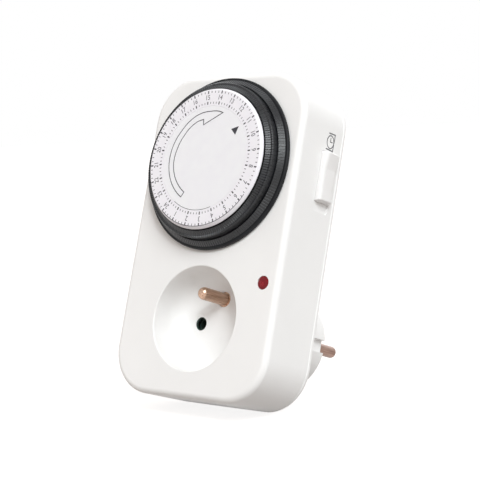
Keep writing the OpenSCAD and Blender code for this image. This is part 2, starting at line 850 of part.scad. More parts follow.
module neutral_bar()
    color("gold")
        in_frame() {
            supply_strip(1, nose_y - pin_root);
            block([pole_x - bar_w / 2, pole_x + bar_w / 2], [bar_y, nose_y - pin_root],
                [-strip_t / 2, strip_t / 2]);
        }

front_shell();
rear_cover();
rear_screws();
dial_carrier();
number_ring();
centre_plate();
dial_gear();
for (hour = [0 : HOURS - 1])
    tappets(hour);
gear_plate();
plate_screws();
dial_spindle();
reduction_gear();
reduction_arbor();
motor_can();
motor_pinion();
switch_lever();
lever_pin();
contact_leaf();
fixed_contact();
mode_knob();
bridge_contact();
override_contacts();
lamp_lens();
neon_lamp();
lamp_resistor();
live_sleeve();
neutral_sleeve();
earth_pin();
earth_strip();
earth_clip_top();
earth_clip_bottom();
plug_earth_sleeve();
plug_pin_live();
plug_pin_neutral();
live_bar();
switched_bar();
neutral_bar();
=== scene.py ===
import json
import math

import bmesh
import bpy
from mathutils import Matrix, Vector


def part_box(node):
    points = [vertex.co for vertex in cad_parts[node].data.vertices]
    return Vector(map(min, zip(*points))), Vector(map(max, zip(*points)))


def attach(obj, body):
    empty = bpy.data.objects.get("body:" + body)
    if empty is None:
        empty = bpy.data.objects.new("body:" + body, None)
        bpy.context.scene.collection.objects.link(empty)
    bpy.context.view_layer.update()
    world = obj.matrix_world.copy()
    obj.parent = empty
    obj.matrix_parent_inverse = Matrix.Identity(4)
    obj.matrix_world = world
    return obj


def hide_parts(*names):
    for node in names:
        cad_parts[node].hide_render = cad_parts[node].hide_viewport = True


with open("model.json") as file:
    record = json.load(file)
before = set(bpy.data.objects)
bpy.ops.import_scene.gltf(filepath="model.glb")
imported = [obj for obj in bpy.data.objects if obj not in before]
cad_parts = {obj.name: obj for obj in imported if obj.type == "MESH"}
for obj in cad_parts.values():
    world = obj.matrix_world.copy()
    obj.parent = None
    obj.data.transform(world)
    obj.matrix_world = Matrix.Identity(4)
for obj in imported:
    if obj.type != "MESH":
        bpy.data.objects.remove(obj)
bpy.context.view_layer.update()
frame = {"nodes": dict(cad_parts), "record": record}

# Lengths are in millimetres up to the point where a mesh is made, and depths are measured
# from the housing's front face towards the wall.
MM = 0.001


def box_mm(node):
    """Lowest and highest corner of a solid, in millimetres."""
    low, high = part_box(node)
    return low / MM, high / MM


# Housing: SHELL_D is the depth of the seam, BODY_D of the back, NOSE_END of the plug's end face
shell_low, shell_high = box_mm("front_shell")
screws_low, screws_high = box_mm("rear_screws")
FRONT = shell_low.y
SIDE_X = shell_high.x
FLOOR_Z = shell_low.z
ROOF_Z = shell_high.z
SHELL_D = shell_high.y - FRONT
BODY_D = screws_high.y - FRONT
NOSE_END = box_mm("rear_cover")[1].y - FRONT
WALL = 2.0
CORNER_R = 17.5
FRONT_ROUND = 2.4
REAR_ROUND = 1.2
SEAM = 0.25
GAP = 0.3
FIT = 0.05

# Cover screws
SCREW_HEAD_R = 2.7
SCREW_HEAD_T = 1.2
SCREW_R = 1.4
SCREW_L = 9.0
BOSS_X = screws_high.x - SCREW_HEAD_R
BOSS_TOP_Z = screws_high.z - SCREW_HEAD_R
BOSS_LOW_Z = screws_low.z + SCREW_HEAD_R
SCREWS = [(x, z) for x in (-BOSS_X, BOSS_X) for z in (BOSS_LOW_Z, BOSS_TOP_Z)]

# Dial: depths in front of the housing are negative
dial_low, dial_high = box_mm("dial_carrier")
DIAL_Z = (dial_low.z + dial_high.z) / 2
FLANGE_R = dial_high.x
FACE = box_mm("number_ring")[0].y - FRONT
RING_R = box_mm("number_ring")[1].x
PLATE_R = box_mm("centre_plate")[1].x
RING_BACK = dial_low.y - FRONT
DRUM_FRONT = -3.6
SLOT_FRONT = -0.9
DRUM_BACK = 1.0
DRUM_R = 31.3
BORE_R = 1.6
WEB_T = 1.6
CONE_R = 32.3
CONE_RIBS = 192
FLANGE_EDGE = FLANGE_R + 0.3
FLANGE_FRONT = -1.8
FLANGE_BACK = -0.3
TAPPET_IN = 27.4
TAPPET_OUT = 30.1
TAPPET_FRONT = -7.0
TAPPET_BACK = 0.2
TAPPET_W = 1.393
CAP_BACK = -3.45
CAP_GAP = 0.08
HOURS = 24
TAPPETS_PER_HOUR = 4
TAPPETS = HOURS * TAPPETS_PER_HOUR
PITCH = 360 / TAPPETS
REST_ANGLE = 231.6  # direction of hour 0 at rest

# Socket and plug
POLE_X = 9.5
EARTH_Z = 10.0
HOLE_R = 2.6
RECESS_R = 19.75
RECESS_D = 15.7
RECESS_BLEND = 7.5
RIM_ROUND = 0.5
CUP_R = 21.35
CUP_D = 16.9
COLLAR_R = 2.9
NOSE_R = 19.0
NOSE_ROUND = 1.0
GROOVE_W = 5.0
GROOVE_D = 2.2
CLIP_W = 6.3
CLIP_T = 1.6
CLIP_START = BODY_D + 6
PIN_R = 2.4

# Lamp
lens_low, lens_high = box_mm("lamp_lens")
LAMP_X = (lens_low.x + lens_high.x) / 2
LAMP_Z = (lens_low.z + lens_high.z) / 2
LAMP_R = 2.5
LENS_RIM_R = lens_high.x - LAMP_X

# Mode switch: THUMB_Y is a depth, and heights are from THUMB_Z
THUMB_PEAK = box_mm("mode_knob")[1].x - 0.6
THUMB_Y = 17.9
THUMB_Z = 57.0
THUMB_L = 16.7
THUMB_TOP = 10.6
THUMB_END_H = 2.3
THUMB_W = 8.2
THUMB_TRAVEL = 3.4
POCKET_D = 0.45


def point(x, depth, z):
    """A point in metres from millimetres, with the depth measured from the housing's front."""
    return Vector((x, FRONT + depth, z)) * MM


# Outlines -----------------------------------------------------------------------------

def rounded(corners, steps=5):
    """Corners (u, v, radius) as points, each corner with a radius turned into an arc."""
    points = []
    for i, (u, v, radius) in enumerate(corners):
        if radius == 0:
            points.append((u, v))
            continue
        here = Vector((u, v))
        to_last = (Vector(corners[i - 1][:2]) - here).normalized()
        to_next = (Vector(corners[(i + 1) % len(corners)][:2]) - here).normalized()
        half = to_last.angle(to_next) / 2
        start = here + to_last * (radius / math.tan(half))
        end = here + to_next * (radius / math.tan(half))
        centre = here + (to_last + to_next).normalized() * (radius / math.sin(half))
        first, last = (start - centre).normalized(), (end - centre).normalized()
        for step in range(steps + 1):
            points.append(tuple(centre + first.slerp(last, step / steps).normalized() * radius))
    return points


def quarter_turn(steps):
    """Sine and cosine at even steps from 0 to 90 degrees."""
    turns = [math.radians(90 * step / steps) for step in range(steps + 1)]
    return [(math.sin(turn), math.cos(turn)) for turn in turns]


def housing_outline(inset, steps=16):
    """The housing's rounded rectangle seen from the front, drawn in by inset."""
    radius = CORNER_R - inset
    centres = [(SIDE_X - CORNER_R, ROOF_Z - CORNER_R), (CORNER_R - SIDE_X, ROOF_Z - CORNER_R),
               (CORNER_R - SIDE_X, FLOOR_Z + CORNER_R), (SIDE_X - CORNER_R, FLOOR_Z + CORNER_R)]
    points = []
    for quarter, (x, z) in enumerate(centres):
        for step in range(steps + 1):
            angle = math.radians(90 * (quarter + step / steps))
            points.append((x + radius * math.cos(angle), z + radius * math.sin(angle)))
    return points


def polar(radius, angle, centre=(0.0, 0.0)):
    """A point of the front view, with the angle in degrees anticlockwise from +X."""
    turn = math.radians(angle)
    return centre[0] + radius * math.cos(turn), centre[1] + radius * math.sin(turn)


# Meshes -------------------------------------------------------------------------------

def new_piece(name, vertices, faces, material):
    """An object in the scene from points in metres, with its normals outwards."""
    mesh = bpy.data.meshes.new(name)
    mesh.from_pydata(vertices, [], faces)
    mesh.materials.append(material)
    made = bmesh.new()
    made.from_mesh(mesh)
    bmesh.ops.recalc_face_normals(made, faces=made.faces)
    made.to_mesh(mesh)
    made.free()
    piece = bpy.data.objects.new(name, mesh)
    bpy.context.collection.objects.link(piece)
    return piece


def bake(piece):
    """Turns the piece's modifiers into its mesh."""
    graph = bpy.context.evaluated_depsgraph_get()
    mesh = bpy.data.meshes.new_from_object(piece.evaluated_get(graph))
    piece.modifiers.clear()
    piece.data = mesh


def combine(piece, other, operation):
    """Joins the other piece on, or cuts it out, and deletes it."""
    modifier = piece.modifiers.new("combine", "BOOLEAN")
    modifier.operation = operation
    modifier.solver = "EXACT"
    modifier.object = other
    bake(piece)
    bpy.data.objects.remove(other)


def cut(piece, *cutters):
    """Cuts each cutter out of the piece."""
    for cutter in cutters:
        combine(piece, cutter, "DIFFERENCE")


def join(piece, *others):
    """Joins each of the others on to the piece."""
    for other in others:
        combine(piece, other, "UNION")


def gather(name, pieces):
    """Several separate solids as one piece, each with its own material."""
    vertices, faces, finishes = [], [], []
    for piece in pieces:
        first = len(vertices)
        vertices += [vertex.co.copy() for vertex in piece.data.vertices]
        faces += [[first + index for index in face.vertices] for face in piece.data.polygons]
        finishes += [piece.data.materials[0]] * len(piece.data.polygons)
    for piece in pieces:
        bpy.data.objects.remove(piece)
    whole = new_piece(name, vertices, faces, finishes[0])
    different = list(dict.fromkeys(finishes))
    for finish in different[1:]:
        whole.data.materials.append(finish)
    for face, finish in zip(whole.data.polygons, finishes):
        face.material_index = different.index(finish)
    return whole


def smooth(piece, angle=32):
    """Smooth shading with sharp edges kept, and normals that follow the large faces."""
    piece.data.shade_smooth()
    piece.data.set_sharp_from_angle(angle=math.radians(angle))
    modifier = piece.modifiers.new("normals", "WEIGHTED_NORMAL")
    modifier.keep_sharp = True
    return piece


def soften(piece, width, segments=2, angle=35):
    """Rounds the sharp edges by a small width."""
    modifier = piece.modifiers.new("edges", "BEVEL")
    modifier.width = width * MM
    modifier.segments = segments
    modifier.limit_method = "ANGLE"
    modifier.angle_limit = math.radians(angle)
    modifier.use_clamp_overlap = True
    bake(piece)
    return piece


def revolve(name, profile, centre, material, segments=128):
    """Turns a closed profile of (radius, depth) about the axis through centre = (x, z)."""
    on_axis = 1e-6
    vertices, rings, faces = [], [], []
    for radius, depth in profile:
        if radius < on_axis:
            rings.append([len(vertices)])
            vertices.append(point(centre[0], depth, centre[1]))
            continue
        rings.append(list(range(len(vertices), len(vertices) + segments)))
        for step in range(segments):
            x, z = polar(radius, 360 * step / segments, centre)
            vertices.append(point(x, depth, z))
    for ring, following in zip(rings, rings[1:] + rings[:1]):
        if len(ring) == 1 and len(following) == 1:
            continue
        for step in range(segments):
            beyond = (step + 1) % segments
            corners = [ring[step % len(ring)], ring[beyond % len(ring)],
                       following[beyond % len(following)], following[step % len(following)]]
            faces.append(list(dict.fromkeys(corners)))
    return new_piece(name, vertices, faces, material)


def loft(name, rings, material):
    """A solid through rings of points, each ring with as many points as the last."""
    count = len(rings[0])
    vertices = [vertex for ring in rings for vertex in ring]
    faces = [list(range(count)), list(range(len(vertices) - count, len(vertices)))]
    for ring in range(len(rings) - 1):
        for step in range(count):
            beyond = (step + 1) % count
            low, high = ring * count, (ring + 1) * count
            faces.append([low + step, low + beyond, high + beyond, high + step])
    return new_piece(name, vertices, faces, material)


def rod(x, z, low, high, radius, material, segments=64):
    """A cylinder along the depth, from low to high."""
    profile = [(0, low), (radius, low), (radius, high), (0, high)]
    return revolve("rod", profile, (x, z), material, segments)


def block(xs, depths, zs, material):
    """A box between two values in each direction."""
    ring = [(xs[0], depths[0]), (xs[1], depths[0]), (xs[1], depths[1]), (xs[0], depths[1])]
    return loft("block", [[point(x, depth, z) for x, depth in ring] for z in zs], material)


def softened_copy(name, node, material, width):
    """A solid's own shape with its sharp edges rounded."""
    same_place = 0.002 * MM
    mesh = frame["nodes"][node].data.copy()
    mesh.name = name
    mesh.materials.clear()
    mesh.materials.append(material)
    made = bmesh.new()
    made.from_mesh(mesh)
    bmesh.ops.remove_doubles(made, verts=made.verts, dist=same_place)
    bmesh.ops.dissolve_limit(made, angle_limit=math.radians(1), verts=made.verts, edges=made.edges)
    made.to_mesh(mesh)
    made.free()
    piece = bpy.data.objects.new(name, mesh)
    bpy.context.collection.objects.link(piece)
    soften(piece, width)
    return smooth(piece)


def place(piece, body, slot, *nodes):
    """Puts a piece on its body and hides the solids that it stands for; the slot is not used."""
    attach(piece, body)
    if nodes:
        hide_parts(*nodes)
    return piece


# Materials ----------------------------------------------------------------------------

def add_node(tree, kind, inputs=None, **settings):
    """A shader node with its settings, and its inputs linked to sockets or set to values."""
    made = tree.nodes.new(kind)
    for name, value in settings.items():
        setattr(made, name, value)
    for name, value in (inputs or {}).items():
        if isinstance(value, bpy.types.NodeSocket):
            tree.links.new(value, made.inputs[name])
        else:
            made.inputs[name].default_value = value
    return made


def noise(tree, where, scale, detail=3.0, rough=0.5):
    """A noise field over the piece, with features about 1/scale metres across."""
    settings = {"Vector": where, "Scale": scale, "Detail": detail, "Roughness": rough}
    return add_node(tree, "ShaderNodeTexNoise", settings).outputs[0]


def spread(tree, value, low, high, start=0.3, end=0.7):
    """The value's usual range carried over to low..high."""
    settings = {"Value": value, "From Min": start, "From Max": end, "To Min": low, "To Max": high}
    return add_node(tree, "ShaderNodeMapRange", settings).outputs[0]


def ramp(tree, value, dark, light, start=0.35, end=0.65):
    """The value's usual range carried over to colours from dark to light."""
    made = add_node(tree, "ShaderNodeValToRGB", {"Fac": value})
    first, last = made.color_ramp.elements
    first.position, first.color = start, (*dark, 1.0)
    last.position, last.color = end, (*light, 1.0)
    return made.outputs["Color"]


def surface(name, dark, light, roughness, blotch=60.0, grain=2500.0, depth=0.004,
            stretch=(1.0, 1.0, 1.0), wave=0.0, **shader):
    """A moulded or machined surface: uneven colour and gloss, a fine grain, and faint waviness.

    blotch, grain and wave are noise scales per metre, depth the grain's height in millimetres.
    """
    wave_height = 12.0  # times the grain's
    material = bpy.data.materials.new(name)
    material.use_nodes = True
    tree = material.node_tree
    tree.nodes.clear()
    in_piece = add_node(tree, "ShaderNodeTexCoord").outputs["Object"]
    where = add_node(tree, "ShaderNodeMapping", {"Vector": in_piece, "Scale": stretch}).outputs[0]
    patches = noise(tree, where, blotch, 5.0, 0.55)
    fine = noise(tree, where, grain, 2.0, 0.6)
    height = fine
    if wave:
        terms = {0: noise(tree, in_piece, wave, 1.0), 1: wave_height, 2: fine}
        height = add_node(tree, "ShaderNodeMath", terms, operation="MULTIPLY_ADD").outputs[0]
    relief = {"Height": height, "Strength": 1.0, "Distance": depth * MM}
    bump = add_node(tree, "ShaderNodeBump", relief)
    principled = add_node(tree, "ShaderNodeBsdfPrincipled", {
        "Base Color": ramp(tree, patches, dark, light),
        "Roughness": spread(tree, patches, roughness[0], roughness[1]),
        "Normal": bump.outputs[0], **shader})
    output = add_node(tree, "ShaderNodeOutputMaterial")
    tree.links.new(principled.outputs[0], output.inputs["Surface"])
    return material


def housing_plastic(name, tint):
    """Glossy white moulded plastic with a trace of flow marks."""
    dark = tuple(value * 0.975 for value in tint)
    return surface(name, dark, tint, (0.38, 0.48), blotch=35.0, grain=1800.0, depth=0.0005,
                   wave=40.0, IOR=1.5)


def printed_plastic(name, tint):
    """Satin white plastic with the faint mottling of a printed face."""
    dark = (tint[0] * 0.98, tint[1] * 0.975, tint[2] * 0.985)
    return surface(name, dark, tint, (0.42, 0.55), blotch=260.0, grain=4000.0, depth=0.002)


def charcoal(name, dark, light, roughness, gloss):
    """Satin black plastic, a little dusty in patches."""
    return surface(name, dark, light, roughness, blotch=120.0, grain=3000.0, depth=0.004,
                   **{"Specular IOR Level": gloss})


def metal(name, dark, light, roughness, stretch=(1.0, 1.0, 1.0), depth=0.003):
    """Metal with tarnish in patches and fine drawn scratches along the stretched axis."""
    return surface(name, dark, light, roughness, blotch=220.0, grain=1500.0, depth=depth,
                   stretch=stretch, Metallic=1.0)


def lens_plastic():
    """Deep red see-through plastic, which looks dark where it is thick."""
    return surface("lens red", (0.14, 0.002, 0.006), (0.29, 0.006, 0.014), (0.2, 0.3), blotch=500.0,
                   grain=2500.0, depth=0.001,
                   **{"Transmission Weight": 0.15, "IOR": 1.49, "Specular IOR Level": 0.25})


def glass_tube():
    """Clear thin glass with a warm tint."""
    return surface("lamp glass", (0.9, 0.82, 0.78), (0.97, 0.92, 0.88), (0.03, 0.08), blotch=300.0,
                   grain=900.0, depth=0.002, **{"Transmission Weight": 0.9, "IOR": 1.5})


# Scratches run along the axis with the low scale
ALONG_Y = (6.0, 0.4, 6.0)
ALONG_Z = (6.0, 6.0, 0.4)

# One finish for each material slot of the record, and four that only this script uses
FINISHES = {
    "housing_white": housing_plastic("housing white", (0.895, 0.895, 0.89)),
    "knob_white": housing_plastic("knob white", (0.87, 0.865, 0.86)),
    "ring_white": printed_plastic("ring white", (0.87, 0.86, 0.90)),
    "plate_white": printed_plastic("plate white", (0.86, 0.865, 0.89)),
    "dial_black": charcoal("dial black", (0.008, 0.0085, 0.010), (0.015, 0.016, 0.018),
                           (0.42, 0.52), 0.18),
    "tappet_black": charcoal("tappet black", (0.007, 0.0075, 0.009), (0.014, 0.015, 0.018),
                             (0.26, 0.34), 0.5),
    "lens_red": lens_plastic(),
    "pin_copper": metal("pin copper", (0.20, 0.125, 0.10), (0.36, 0.24, 0.195), (0.28, 0.4), ALONG_Y),
    "brass": metal("brass strip", (0.58, 0.44, 0.22), (0.70, 0.55, 0.30), (0.26, 0.36), ALONG_Y),
    "copper": metal("contact copper", (0.55, 0.27, 0.15), (0.76, 0.45, 0.30), (0.2, 0.34), ALONG_Z),
    "steel": metal("zinc plated steel", (0.42, 0.43, 0.45), (0.66, 0.66, 0.68), (0.24, 0.38)),
    "motor_steel": metal("motor can", (0.40, 0.40, 0.41), (0.60, 0.60, 0.61), (0.3, 0.45), ALONG_Y),
    "gear_plastic": surface("gear acetal", (0.76, 0.71, 0.57), (0.86, 0.82, 0.70),
                            (0.34, 0.45), 90.0),
    "gear_plate": surface("gear plate", (0.66, 0.64, 0.58), (0.76, 0.74, 0.68),
                          (0.42, 0.55), 50.0),
    "lever_plastic": surface("lever plastic", (0.60, 0.27, 0.08), (0.75, 0.38, 0.13),
                             (0.35, 0.5), 90.0),
    "glass": glass_tube(),
    "resistor": surface("resistor lacquer", (0.52, 0.38, 0.24), (0.70, 0.56, 0.40),
                        (0.3, 0.5), 700.0),
}
INK = surface("printing ink", (0.014, 0.014, 0.020), (0.045, 0.042, 0.055),
              (0.45, 0.6), 900.0, 5000.0)
FAINT_INK = surface("thin ink", (0.07, 0.07, 0.08), (0.15, 0.15, 0.165),
                    (0.45, 0.6), 900.0, 5000.0)
# The sleeves' brass is painted near black with a green cast: painted shade for the dark deep inside the
# socket's holes, not the metal's own colour.
SLEEVE_SHADE_BRASS = surface("sleeve brass painted as hole shade", (0.035, 0.06, 0.05), (0.08, 0.12, 0.10),
                     (0.4, 0.6), 220.0, 1500.0)
# The earth pin's copper is painted lighter than the plug pins' copper: painted light that makes up for
# the shade of the recess it stands in.
EARTH_PIN_LIT_COPPER = metal("earth pin copper painted lighter", (0.42, 0.27, 0.19), (0.64, 0.44, 0.33),
                     (0.24, 0.36), ALONG_Y)
WHITE = FINISHES["housing_white"]


def finish_solids():
    """Every solid of the frame gets its slot's material, and the socket's sleeves a near-black brass
    that is painted shade for the dark inside their holes.
    """
    for entry in frame["record"]["subparts"]:
        solid = frame["nodes"][entry["node"]]
        solid.data.materials.clear()
        is_sleeve = entry["node"] in ("live_sleeve", "neutral_sleeve")
        solid.data.materials.append(SLEEVE_SHADE_BRASS if is_sleeve else FINISHES[entry["material_slot"]])


# Housing ------------------------------------------------------------------------------

def recess_cutter():
    """The socket's round recess, with an eased rim and a broad blend into its floor."""
    over = 2.0
    inner = RECESS_R - RECESS_BLEND
    profile = [(0, -over), (RECESS_R + RIM_ROUND, -over)]
    for sine, cosine in quarter_turn(6):
        profile.append((RECESS_R + RIM_ROUND - RIM_ROUND * sine, RIM_ROUND - RIM_ROUND * cosine))
    for sine, cosine in quarter_turn(14):
        profile.append((inner + RECESS_BLEND * cosine,
                        RECESS_D - RECESS_BLEND + RECESS_BLEND * sine))
    profile.append((0, RECESS_D))
    return revolve("recess", profile, (0, 0), WHITE, 160)


def hole_cutter(x, z, depth, radius, chamfer, length):
    """A round hole that starts at a depth, with its mouth eased."""
    over = 1.0
    mouth = radius + chamfer
    profile = [(0, depth - over), (mouth, depth - over), (mouth, depth),
               (radius, depth + chamfer), (radius, depth + length), (0, depth + length)]
    return revolve("hole", profile, (x, z), WHITE, 64)


def pocket_cutter():
    """The shallow pocket in the side that the thumb piece slides in."""
    low = THUMB_Z - THUMB_L / 2 - THUMB_TRAVEL - GAP
    high = THUMB_Z + THUMB_TOP + GAP
    near, far = THUMB_Y - THUMB_W / 2 - GAP, THUMB_Y + THUMB_W / 2 + GAP
    corner, over = 0.8, 1
    edge = rounded([(near, low, corner), (far, low, corner), (far, high, corner), (near, high, corner)])
    rings = [[point(x, depth, z) for depth, z in edge] for x in (SIDE_X - POCKET_D, SIDE_X + over)]
    return loft("pocket", rings, WHITE)


def housing_solid(name, rings):
    """A solid of the housing's outline through rings of (inset, depth)."""
    return loft(name, [[point(x, depth, z) for x, z in housing_outline(inset)]
                       for inset, depth in rings], WHITE)


def make_housing_front():
    """The front shell with the socket's cup, and its openings for the dial, pins, lamp and switch."""
    over = 1
    rings = [(FRONT_ROUND * (1 - sine), FRONT_ROUND * (1 - cosine)) for sine, cosine in quarter_turn(8)]
    rings += [(0, SHELL_D - SEAM), (SEAM, SHELL_D), (WALL, SHELL_D), (WALL, WALL + 1), (WALL + 1, WALL)]
    shell = housing_solid("housing_front", rings)
    join(shell, rod(0, 0, WALL / 2, CUP_D, CUP_R, WHITE, 128))
    through_cup = CUP_D - RECESS_D + over
    cut(shell,
        recess_cutter(),
        rod(0, DIAL_Z, -over, WALL + over, DRUM_R + 2 * GAP, WHITE, 160),
        hole_cutter(-POLE_X, 0, RECESS_D, HOLE_R, 0.15, through_cup),
        hole_cutter(POLE_X, 0, RECESS_D, HOLE_R, 0.15, through_cup),
        hole_cutter(0, EARTH_Z, RECESS_D, COLLAR_R + FIT, 0.1, through_cup),
        hole_cutter(LAMP_X, LAMP_Z, 0, LAMP_R + 0.04, 0.06, WALL + over),
        pocket_cutter())
    smooth(shell)
    return place(shell, "housing", "housing_white", "front_shell")


def nose_shape():
    """The plug's hollow body, from inside the housing's back to its end."""
    inner, start, floor = NOSE_R - WALL, SHELL_D + 0.5, NOSE_END - WALL
    profile = rounded([(NOSE_R, start, 0), (NOSE_R, NOSE_END, NOSE_ROUND), (0, NOSE_END, 0),
                       (0, floor, 0), (inner, floor, 0), (inner, start, 0)])
    return revolve("nose", profile, (0, 0), WHITE, 160)


def nose_backing(side):
    """Blocks inside the plug's body that close it behind one groove and one clip's slot."""
    depths = (BODY_D - 1, NOSE_END - 1)
    groove_half, groove_out = GROOVE_W / 2 + WALL, NOSE_R - 0.7
    clip_half, clip_out = CLIP_W / 2 + WALL, NOSE_R - 1.0
    return (block((side * (NOSE_R - GROOVE_D - WALL), side * groove_out), depths,
                  (-groove_half, groove_half), WHITE),
            block((-clip_half, clip_half), depths,
                  (side * (NOSE_R - CLIP_T - WALL), side * clip_out), WHITE))


def nose_cutters(side):
    """A side groove, a clip's slot and a pin's hole in the plug's body."""
    beyond = NOSE_END + 1
    return (block((side * NOSE_R - GROOVE_D, side * NOSE_R + GROOVE_D), (BODY_D, beyond),
                  (-GROOVE_W / 2, GROOVE_W / 2), WHITE),
            block((-CLIP_W / 2, CLIP_W / 2), (CLIP_START, beyond),
                  (side * NOSE_R - CLIP_T, side * NOSE_R + CLIP_T), WHITE),
            rod(side * POLE_X, 0, NOSE_END - WALL - 1, beyond, COLLAR_R + FIT, WHITE))


def make_housing_back():
    """The rear cover with the plug's body."""
    over = 1
    rings = [(WALL, SHELL_D), (SEAM, SHELL_D), (0, SHELL_D + SEAM)]
    for sine, cosine in quarter_turn(6):
        rings.append((REAR_ROUND * (1 - cosine), BODY_D - REAR_ROUND * (1 - sine)))
    cover = housing_solid("housing_back", rings)
    cut(cover, rod(0, 0, SHELL_D - over, BODY_D + over, NOSE_R - WALL, WHITE, 160))
    join(cover, nose_shape())
    for side in (-1, 1):
        join(cover, *nose_backing(side))
        cut(cover, *nose_cutters(side))
    head_floor = BODY_D - SCREW_HEAD_T - 0.02
    cut(cover, *[rod(x, z, head_floor, BODY_D + over, SCREW_HEAD_R + GAP, WHITE) for x, z in SCREWS])
    cut(cover, rod(0, EARTH_Z, NOSE_END - WALL - over, NOSE_END + over, HOLE_R, WHITE))
    smooth(cover)
    return place(cover, "housing", "housing_white", "rear_cover")


def make_rear_screws():
    """The four cross-head screws that hold the cover."""
    steel = FINISHES["steel"]
    slot_half_l, slot_half_w, slot_d = 1.7, 0.35, 0.75
    under_head, tip, ease = BODY_D - SCREW_HEAD_T, BODY_D - SCREW_L, 0.5
    profile = rounded([
        (0, BODY_D, 0), (SCREW_HEAD_R, BODY_D, ease), (SCREW_HEAD_R, under_head, 0),
        (SCREW_R, under_head, 0), (SCREW_R, tip, ease), (0, tip, 0)])
    heads = []
    for x, z in SCREWS:
        head = revolve("screw", profile, (x, z), steel, 48)
        for half_x, half_z in ((slot_half_l, slot_half_w), (slot_half_w, slot_half_l)):
            cut(head, block((x - half_x, x + half_x), (BODY_D - slot_d, BODY_D + 1),
                            (z - half_z, z + half_z), steel))
        heads.append(head)
    screws = gather("cover_screws", heads)
    smooth(screws)
    return place(screws, "housing", "steel", "rear_screws")


# Dial ---------------------------------------------------------------------------------

def ribbed_cone(front, back, ribs):
    """A closed band of fine ribs that slopes from one (radius, depth) to another."""
    height, sunk = 0.16, 0.5
    crests = (0.0, 0.0, height, height)
    count = ribs * len(crests)
    slope = (Vector(back) - Vector(front)).normalized()
    outward = Vector((slope.y, -slope.x))
    rows = [(front, False), (front, True), (back, True), (back, False)]
    vertices, faces = [], []
    for (radius, depth), ribbed in rows:
        for step in range(count):
            out = outward * (crests[step % len(crests)] if ribbed else -sunk)
            x, z = polar(radius + out.x, 360 * step / count, (0, DIAL_Z))
            vertices.append(point(x, depth + out.y, z))
    for row in range(len(rows)):
        below, above = row * count, (row + 1) % len(rows) * count
        for step in range(count):
            beyond = (step + 1) % count
            faces.append([below + step, below + beyond, above + beyond, above + step])
    return new_piece("ribs", vertices, faces, FINISHES["tappet_black"])


def tappet_angle(number):
    """Direction of a tappet seen from the front, with number 0 just after hour 0."""
    return REST_ANGLE + (number + 0.5) * PITCH


def slot_cutter(number):
    """The slot in the drum that one tappet slides in."""
    play_across, play_along = 0.13, 0.15
    side = TAPPET_W / 2 + play_across
    low, high = TAPPET_IN - play_along, TAPPET_OUT + play_along
    turn = Matrix.Rotation(math.radians(tappet_angle(number)), 2)
    ring = [turn @ Vector(corner) for corner in ((low, -side), (high, -side), (high, side), (low, side))]
    return loft("slot", [[point(at.x, depth, at.y + DIAL_Z) for at in ring]
                         for depth in (DRUM_FRONT - 1, DRUM_BACK + 1)], FINISHES["dial_black"])


def make_drum():
    """The dial's drum with its ribbed cone and its flange, slotted for the tappets."""
    web_back = RING_BACK + WEB_T
    hollow_r = TAPPET_IN - 1.7
    seat_r = RING_R - 0.1
    wall_in = TAPPET_OUT + 0.2
    cone_back = FLANGE_FRONT - 0.1
    profile = rounded([
        (BORE_R, RING_BACK, 0), (seat_r, RING_BACK, 0), (seat_r, SLOT_FRONT, 0),
        (wall_in, SLOT_FRONT, 0), (wall_in, DRUM_FRONT, 0), (wall_in + 0.2, DRUM_FRONT, 0),
        (CONE_R, cone_back, 0), (CONE_R, FLANGE_FRONT, 0), (FLANGE_EDGE, FLANGE_FRONT, 0.5),
        (FLANGE_EDGE, FLANGE_BACK, 0.3), (DRUM_R, FLANGE_BACK, 0), (DRUM_R, DRUM_BACK, 0),
        (hollow_r, DRUM_BACK, 0), (hollow_r, web_back, 0.3), (BORE_R, web_back, 0)])
    drum = revolve("dial_drum", profile, (0, DIAL_Z), FINISHES["dial_black"], 288)
    cut(drum, gather("slots", [slot_cutter(number) for number in range(TAPPETS)]))
    ribs = ribbed_cone((wall_in + 0.25, DRUM_FRONT), (CONE_R, cone_back), CONE_RIBS)
    drum = gather("dial_drum", [drum, ribs])
    smooth(drum, 30)
    return place(drum, "dial", "dial_black", "dial_carrier")


def tappet_solid(number, sections):
    """A solid along a tappet's radius, through sections of (radius, [(across, depth), ...])."""
    turn = Matrix.Rotation(math.radians(tappet_angle(number)), 2)
    rings = []
    for radius, section in sections:
        ring = []
        for across, depth in section:
            at = turn @ Vector((radius, across))
            ring.append(point(at.x, depth, at.y + DIAL_Z))
        rings.append(ring)
    return loft("tappet", rings, FINISHES["tappet_black"])


def cap_section(radius, drop):
    """A tappet's wedge-shaped head across its width, drop behind TAPPET_FRONT, with a groove."""
    half = math.pi * radius / TAPPETS - CAP_GAP / 2
    top = TAPPET_FRONT + drop
    ease, groove = 0.12, 0.14
    left = [(-half, CAP_BACK), (-half, top + ease), (ease - half, top), (-groove, top)]
    return left + [(0, top + groove)] + [(-across, depth) for across, depth in reversed(left)]


def make_tappet(number):
    """One push-in segment: a broad head over a narrow slide."""
    half, top = TAPPET_W / 2, CAP_BACK - 0.2
    stations = [(TAPPET_IN, -0.35), (TAPPET_IN + 0.1, -0.45), (TAPPET_IN + 1.6, 0.6),
                (TAPPET_IN + 1.8, 0.62), (TAPPET_OUT - 0.45, 0.45), (TAPPET_OUT - 0.25, 0.45),
                (TAPPET_OUT, 0.75)]
    cap = tappet_solid(number, [(radius, cap_section(radius, drop)) for radius, drop in stations])
    slide = [(-half, top), (half, top), (half, TAPPET_BACK), (-half, TAPPET_BACK)]
    stem = tappet_solid(number, [(radius, slide) for radius in (TAPPET_IN + 0.1, TAPPET_OUT - 0.1)])
    return [cap, stem]


def make_tappets():
    """The tappets of each hour as one piece on that hour's slide."""
    for hour in range(HOURS):
        first = hour * TAPPETS_PER_HOUR
        node = f"tappets_{hour:02d}"
        solids = [solid for quarter in range(TAPPETS_PER_HOUR) for solid in make_tappet(first + quarter)]
        quarters = gather(f"segments_{hour:02d}", solids)
        smooth(quarters, 28)
        place(quarters, node, "tappet_black", node)


